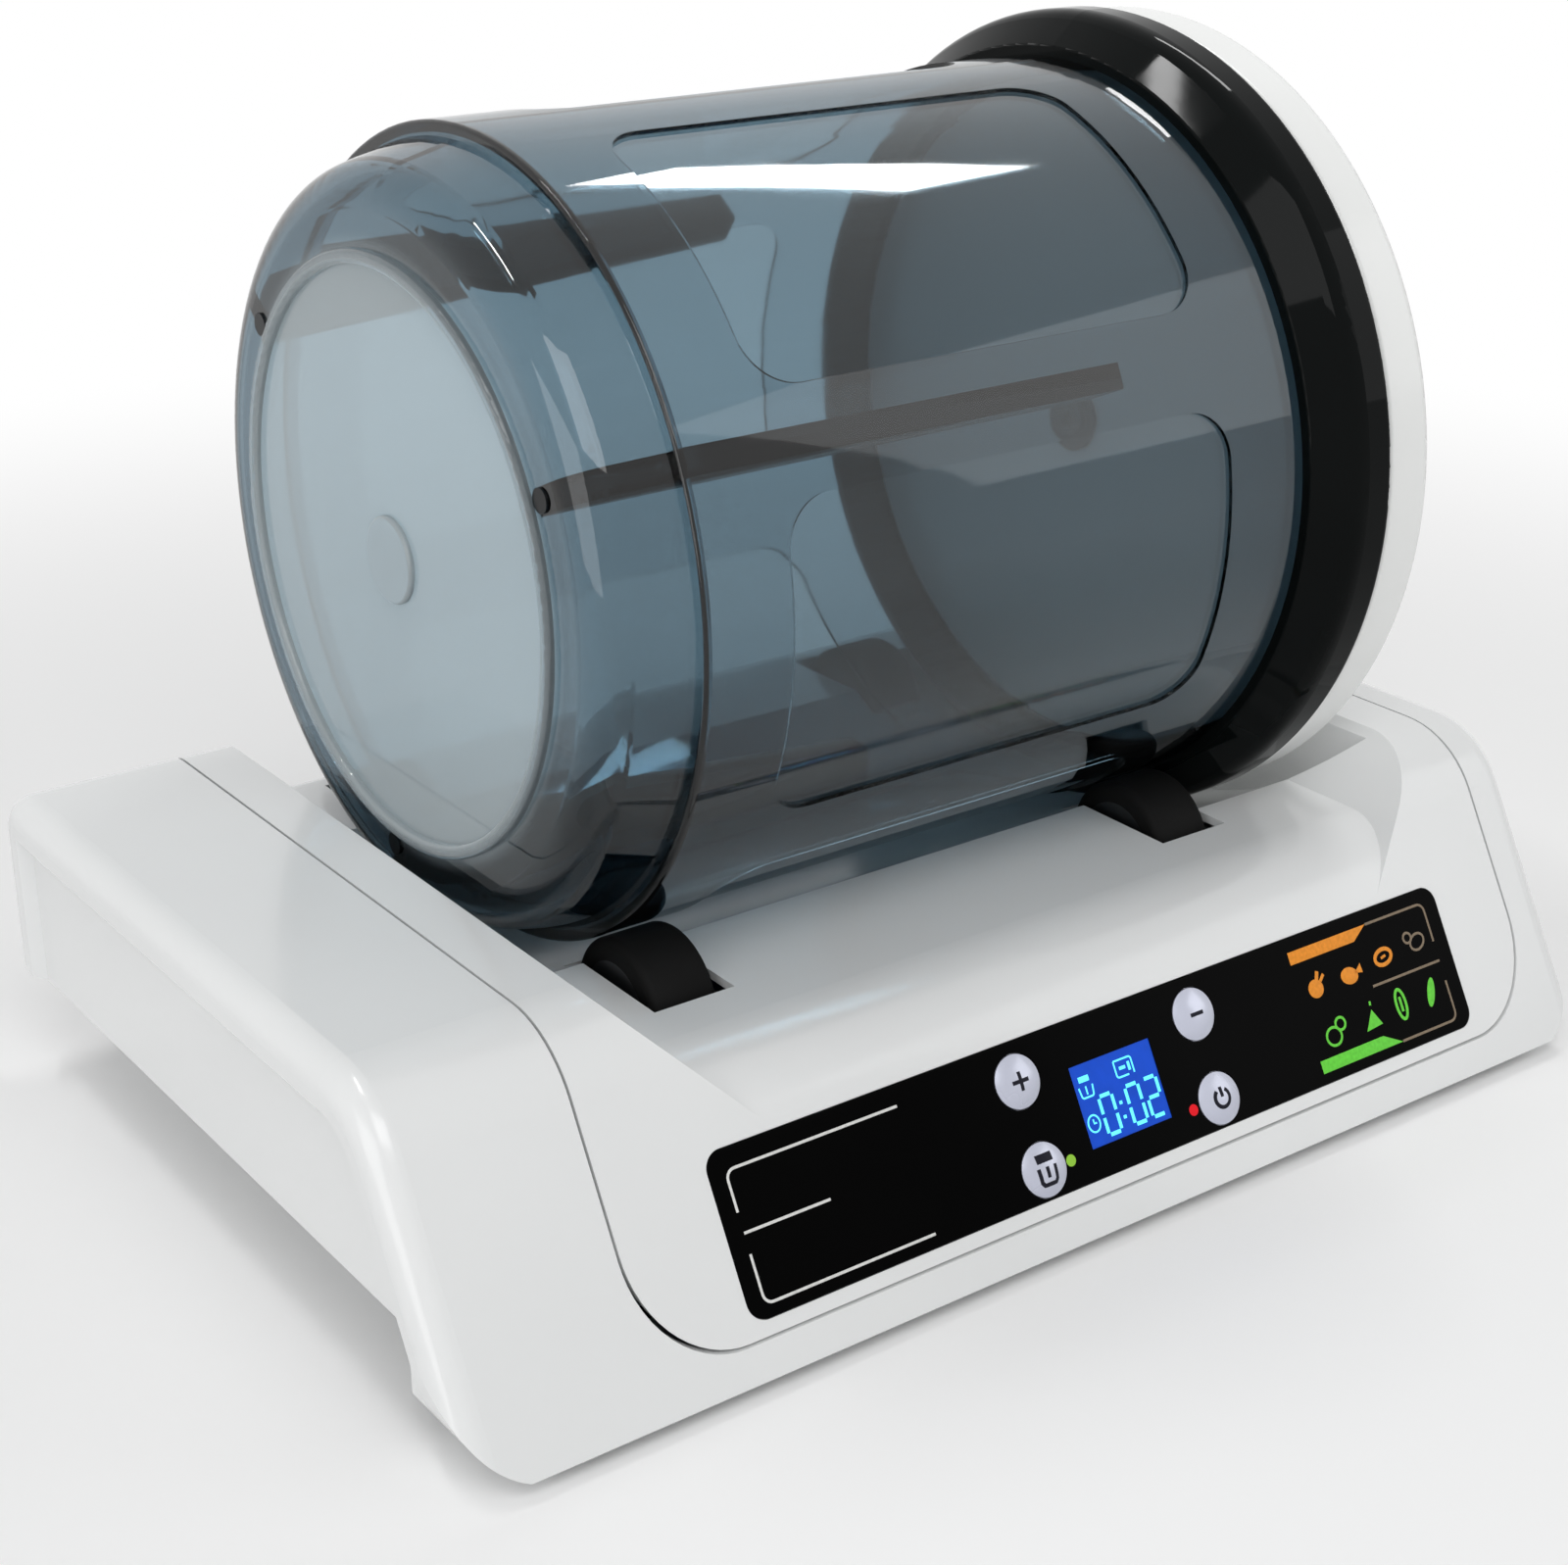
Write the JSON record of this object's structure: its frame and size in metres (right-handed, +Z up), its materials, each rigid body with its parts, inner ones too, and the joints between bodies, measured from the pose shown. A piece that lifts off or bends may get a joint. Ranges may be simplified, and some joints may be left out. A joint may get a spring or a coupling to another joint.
{
  "type": "meat vacuum tumbler",
  "caption": "Countertop vacuum tumbler: white console with driven rubber rollers and slanted key panel, smoke clear drum with black collar, paddles and sealed lid.",
  "frame": {"origin": "centre of the machine's outline on the table, under the feet", "axes": "+X along the drum towards its lid, -Y towards the front with the key panel, +Z up"},
  "size_m": [0.39, 0.2836, 0.2958],
  "materials": {
    "white_shell": "glossy injection moulded",
    "white_tray": "fine matt moulded",
    "white_lid": "glossy moulded",
    "rubber": "matt rubber",
    "roller_rubber": "matt rubber",
    "steel": "turned steel",
    "aluminium": "machined",
    "brass": "sintered bronze",
    "black_plastic": "matt moulded",
    "board": "lacquered board",
    "panel": "gloss black print",
    "display_glass": "clear window",
    "display": "blue backlit display",
    "green_lamp": "clear lens",
    "red_lamp": "clear lens",
    "smoke_clear": "smoke grey clear plastic",
    "collar_black": "gloss black",
    "silver_key": "satin silver paint"
  },
  "bodies": {
    "console": {"housing": "white_shell", "deck": "white_shell", "base_tray": "white_tray", "rubber_feet": "rubber", "case_screws": "steel", "drive_pillars": "black_plastic", "drive_bushes": "brass", "idler_pillars": "black_plastic", "idler_bushes": "brass", "gear_motor": "steel", "motor_bracket": "steel", "pump_motor": "steel", "vacuum_pump": "black_plastic", "pump_bracket": "steel", "vacuum_hose": "rubber", "vacuum_port": "black_plastic", "power_board": "board", "transformer": "black_plastic", "power_inlet": "black_plastic", "inlet_pins": "brass", "control_panel": "panel", "display_window": "display_glass", "display_module": "display", "green_indicator": "green_lamp", "red_indicator": "red_lamp", "control_board": "board", "tact_switches": "black_plastic", "board_spacers": "white_tray"},
    "drum": {"drum_shell": "smoke_clear", "tumbling_paddles": "black_plastic", "paddle_pins": "black_plastic", "drum_collar": "collar_black"},
    "drive_axle": {"drive_shaft": "steel", "drive_tyre_left": "roller_rubber", "drive_hub_left": "black_plastic", "drive_tyre_right": "roller_rubber", "drive_hub_right": "black_plastic", "motor_output_shaft": "steel", "shaft_coupling": "aluminium"},
    "idler_axle": {"idler_shaft": "steel", "idler_tyre_left": "roller_rubber", "idler_hub_left": "black_plastic", "idler_tyre_right": "roller_rubber", "idler_hub_right": "black_plastic"},
    "drum_lid": {"lid": "white_lid", "lid_seal": "rubber", "valve_body": "black_plastic", "valve_seal": "rubber"},
    "lid_valve": {"valve_knob": "black_plastic"},
    "plus_key": {"plus_button": "silver_key"},
    "minus_key": {"minus_button": "silver_key"},
    "vacuum_key": {"vacuum_button": "silver_key"},
    "power_key": {"power_button": "silver_key"}
  },
  "joints": [
    {"name": "drum_spin", "type": "hinge", "parent": "console", "child": "drum", "pos_m": [0, 0.01904, 0.173], "axis": [1, 0, 0], "continuous": true},
    {"name": "drive_spin", "type": "hinge", "parent": "console", "child": "drive_axle", "pos_m": [0, -0.04996, 0.06188], "axis": [1, 0, 0], "continuous": true},
    {"name": "idler_spin", "type": "hinge", "parent": "console", "child": "idler_axle", "pos_m": [0, 0.08804, 0.06188], "axis": [1, 0, 0], "continuous": true},
    {"name": "lid_pull", "type": "slide", "parent": "drum", "child": "drum_lid", "axis": [1, 0, 0], "range_m": [0, 0.012]},
    {"name": "valve_turn", "type": "hinge", "parent": "drum_lid", "child": "lid_valve", "pos_m": [0.13, 0.01904, 0.173], "axis": [1, 0, 0], "range_deg": [0, 90]},
    {"name": "plus_press", "type": "slide", "parent": "console", "child": "plus_key", "axis": [0, 0.8695, -0.4939], "range_m": [0, 0.001], "stiffness_N_per_m": 600},
    {"name": "minus_press", "type": "slide", "parent": "console", "child": "minus_key", "axis": [0, 0.8695, -0.4939], "range_m": [0, 0.001], "stiffness_N_per_m": 600},
    {"name": "vacuum_press", "type": "slide", "parent": "console", "child": "vacuum_key", "axis": [0, 0.8695, -0.4939], "range_m": [0, 0.001], "stiffness_N_per_m": 600},
    {"name": "power_press", "type": "slide", "parent": "console", "child": "power_key", "axis": [0, 0.8695, -0.4939], "range_m": [0, 0.001], "stiffness_N_per_m": 600}
  ],
  "couplings": [
    {"joint": "drive_spin", "follows": "drum_spin", "ratio": -5.525},
    {"joint": "idler_spin", "follows": "drum_spin", "ratio": -5.525}
  ]
}
